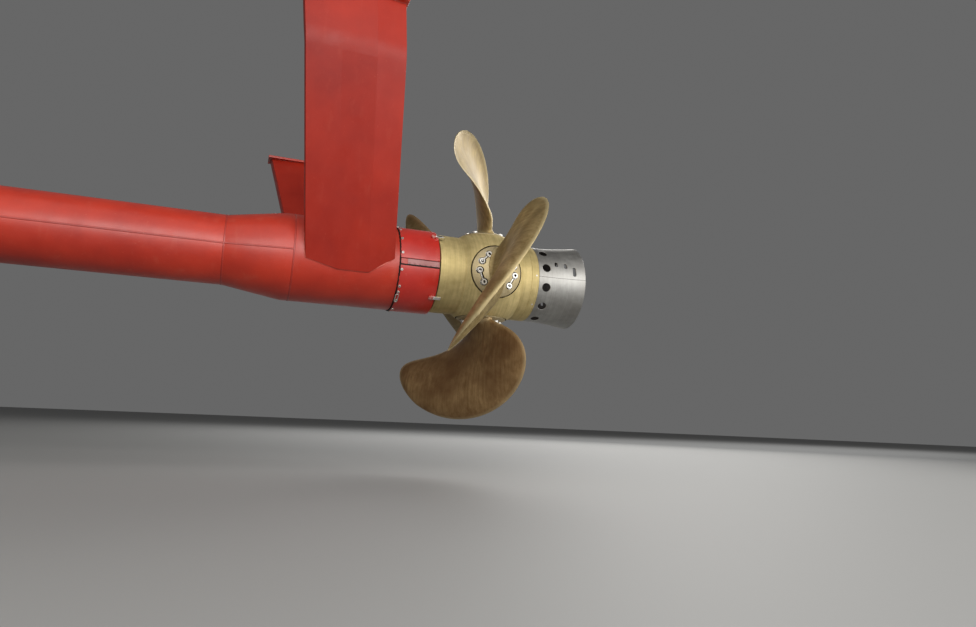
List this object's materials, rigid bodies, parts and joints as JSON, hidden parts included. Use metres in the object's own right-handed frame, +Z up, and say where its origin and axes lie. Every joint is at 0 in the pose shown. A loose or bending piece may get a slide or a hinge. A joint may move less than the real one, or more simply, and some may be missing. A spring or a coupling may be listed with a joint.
{
  "type": "controllable-pitch ship propeller with strut bossing",
  "caption": "Controllable-pitch ship propeller of bolted bronze blades on a hub with a cap skirt, rope guard, strut bossing and shaft tube.",
  "frame": {"origin": "middle of the top face of the outboard strut arm's palm plate, where the hull's shell carries it", "axes": "+X aft along the shaft line, -Y outboard, +Z up"},
  "size_m": [5.9603, 3.0109, 3.603],
  "materials": {
    "red_paint": "worn satin antifouling paint",
    "guard_paint": "satin paint",
    "stainless": "brushed round the shaft line",
    "bush_metal": "machined",
    "shaft_steel": "ground",
    "hub_bronze": "turned, tarnished bronze",
    "blade_bronze": "ground, tarnished bronze"
  },
  "bodies": {
    "strut": {"outboard_palm_plate": "red_paint", "outboard_arm": "red_paint", "inboard_palm_plate": "red_paint", "inboard_arm": "red_paint", "strut_bossing": "red_paint", "bossing_cone": "red_paint", "shaft_tube": "red_paint", "strut_bearing_bush": "bush_metal", "tube_bearing_bush": "bush_metal", "rope_guard_upper": "guard_paint", "rope_guard_lower": "guard_paint", "guard_joint_outboard": "guard_paint", "guard_joint_inboard": "guard_paint", "rope_cutter_1": "stainless", "rope_cutter_2": "stainless", "rope_cutter_3": "stainless", "rope_cutter_4": "stainless"},
    "hub": {"propeller_shaft": "shaft_steel", "hub_forward_cylinder": "hub_bronze", "hub_body": "hub_bronze", "hub_aft_cover": "hub_bronze", "hub_end_cap": "hub_bronze", "cap_skirt_upper": "stainless", "cap_skirt_lower": "stainless"},
    "blade_1": {"blade_1": "blade_bronze"},
    "blade_2": {"blade_2": "blade_bronze"},
    "blade_3": {"blade_3": "blade_bronze"},
    "blade_4": {"blade_4": "blade_bronze"}
  },
  "joints": [
    {"name": "shaft_spin", "type": "hinge", "parent": "strut", "child": "hub", "pos_m": [1.60514, 0.9838, -2.1753], "axis": [1, 0, 0], "continuous": true},
    {"name": "blade_pitch_1", "type": "hinge", "parent": "hub", "child": "blade_1", "pos_m": [1.60514, 0.9838, -2.1753], "axis": [0, 0, 1], "range_deg": [0, 55]},
    {"name": "blade_pitch_2", "type": "hinge", "parent": "hub", "child": "blade_2", "pos_m": [1.60514, 0.9838, -2.1753], "axis": [0, -1, 0], "range_deg": [0, 55]},
    {"name": "blade_pitch_3", "type": "hinge", "parent": "hub", "child": "blade_3", "pos_m": [1.60514, 0.9838, -2.1753], "axis": [0, 0, -1], "range_deg": [0, 55]},
    {"name": "blade_pitch_4", "type": "hinge", "parent": "hub", "child": "blade_4", "pos_m": [1.60514, 0.9838, -2.1753], "axis": [0, 1, 0], "range_deg": [0, 55]}
  ],
  "couplings": [
    {"joint": "blade_pitch_2", "follows": "blade_pitch_1", "ratio": 1},
    {"joint": "blade_pitch_3", "follows": "blade_pitch_1", "ratio": 1},
    {"joint": "blade_pitch_4", "follows": "blade_pitch_1", "ratio": 1}
  ]
}
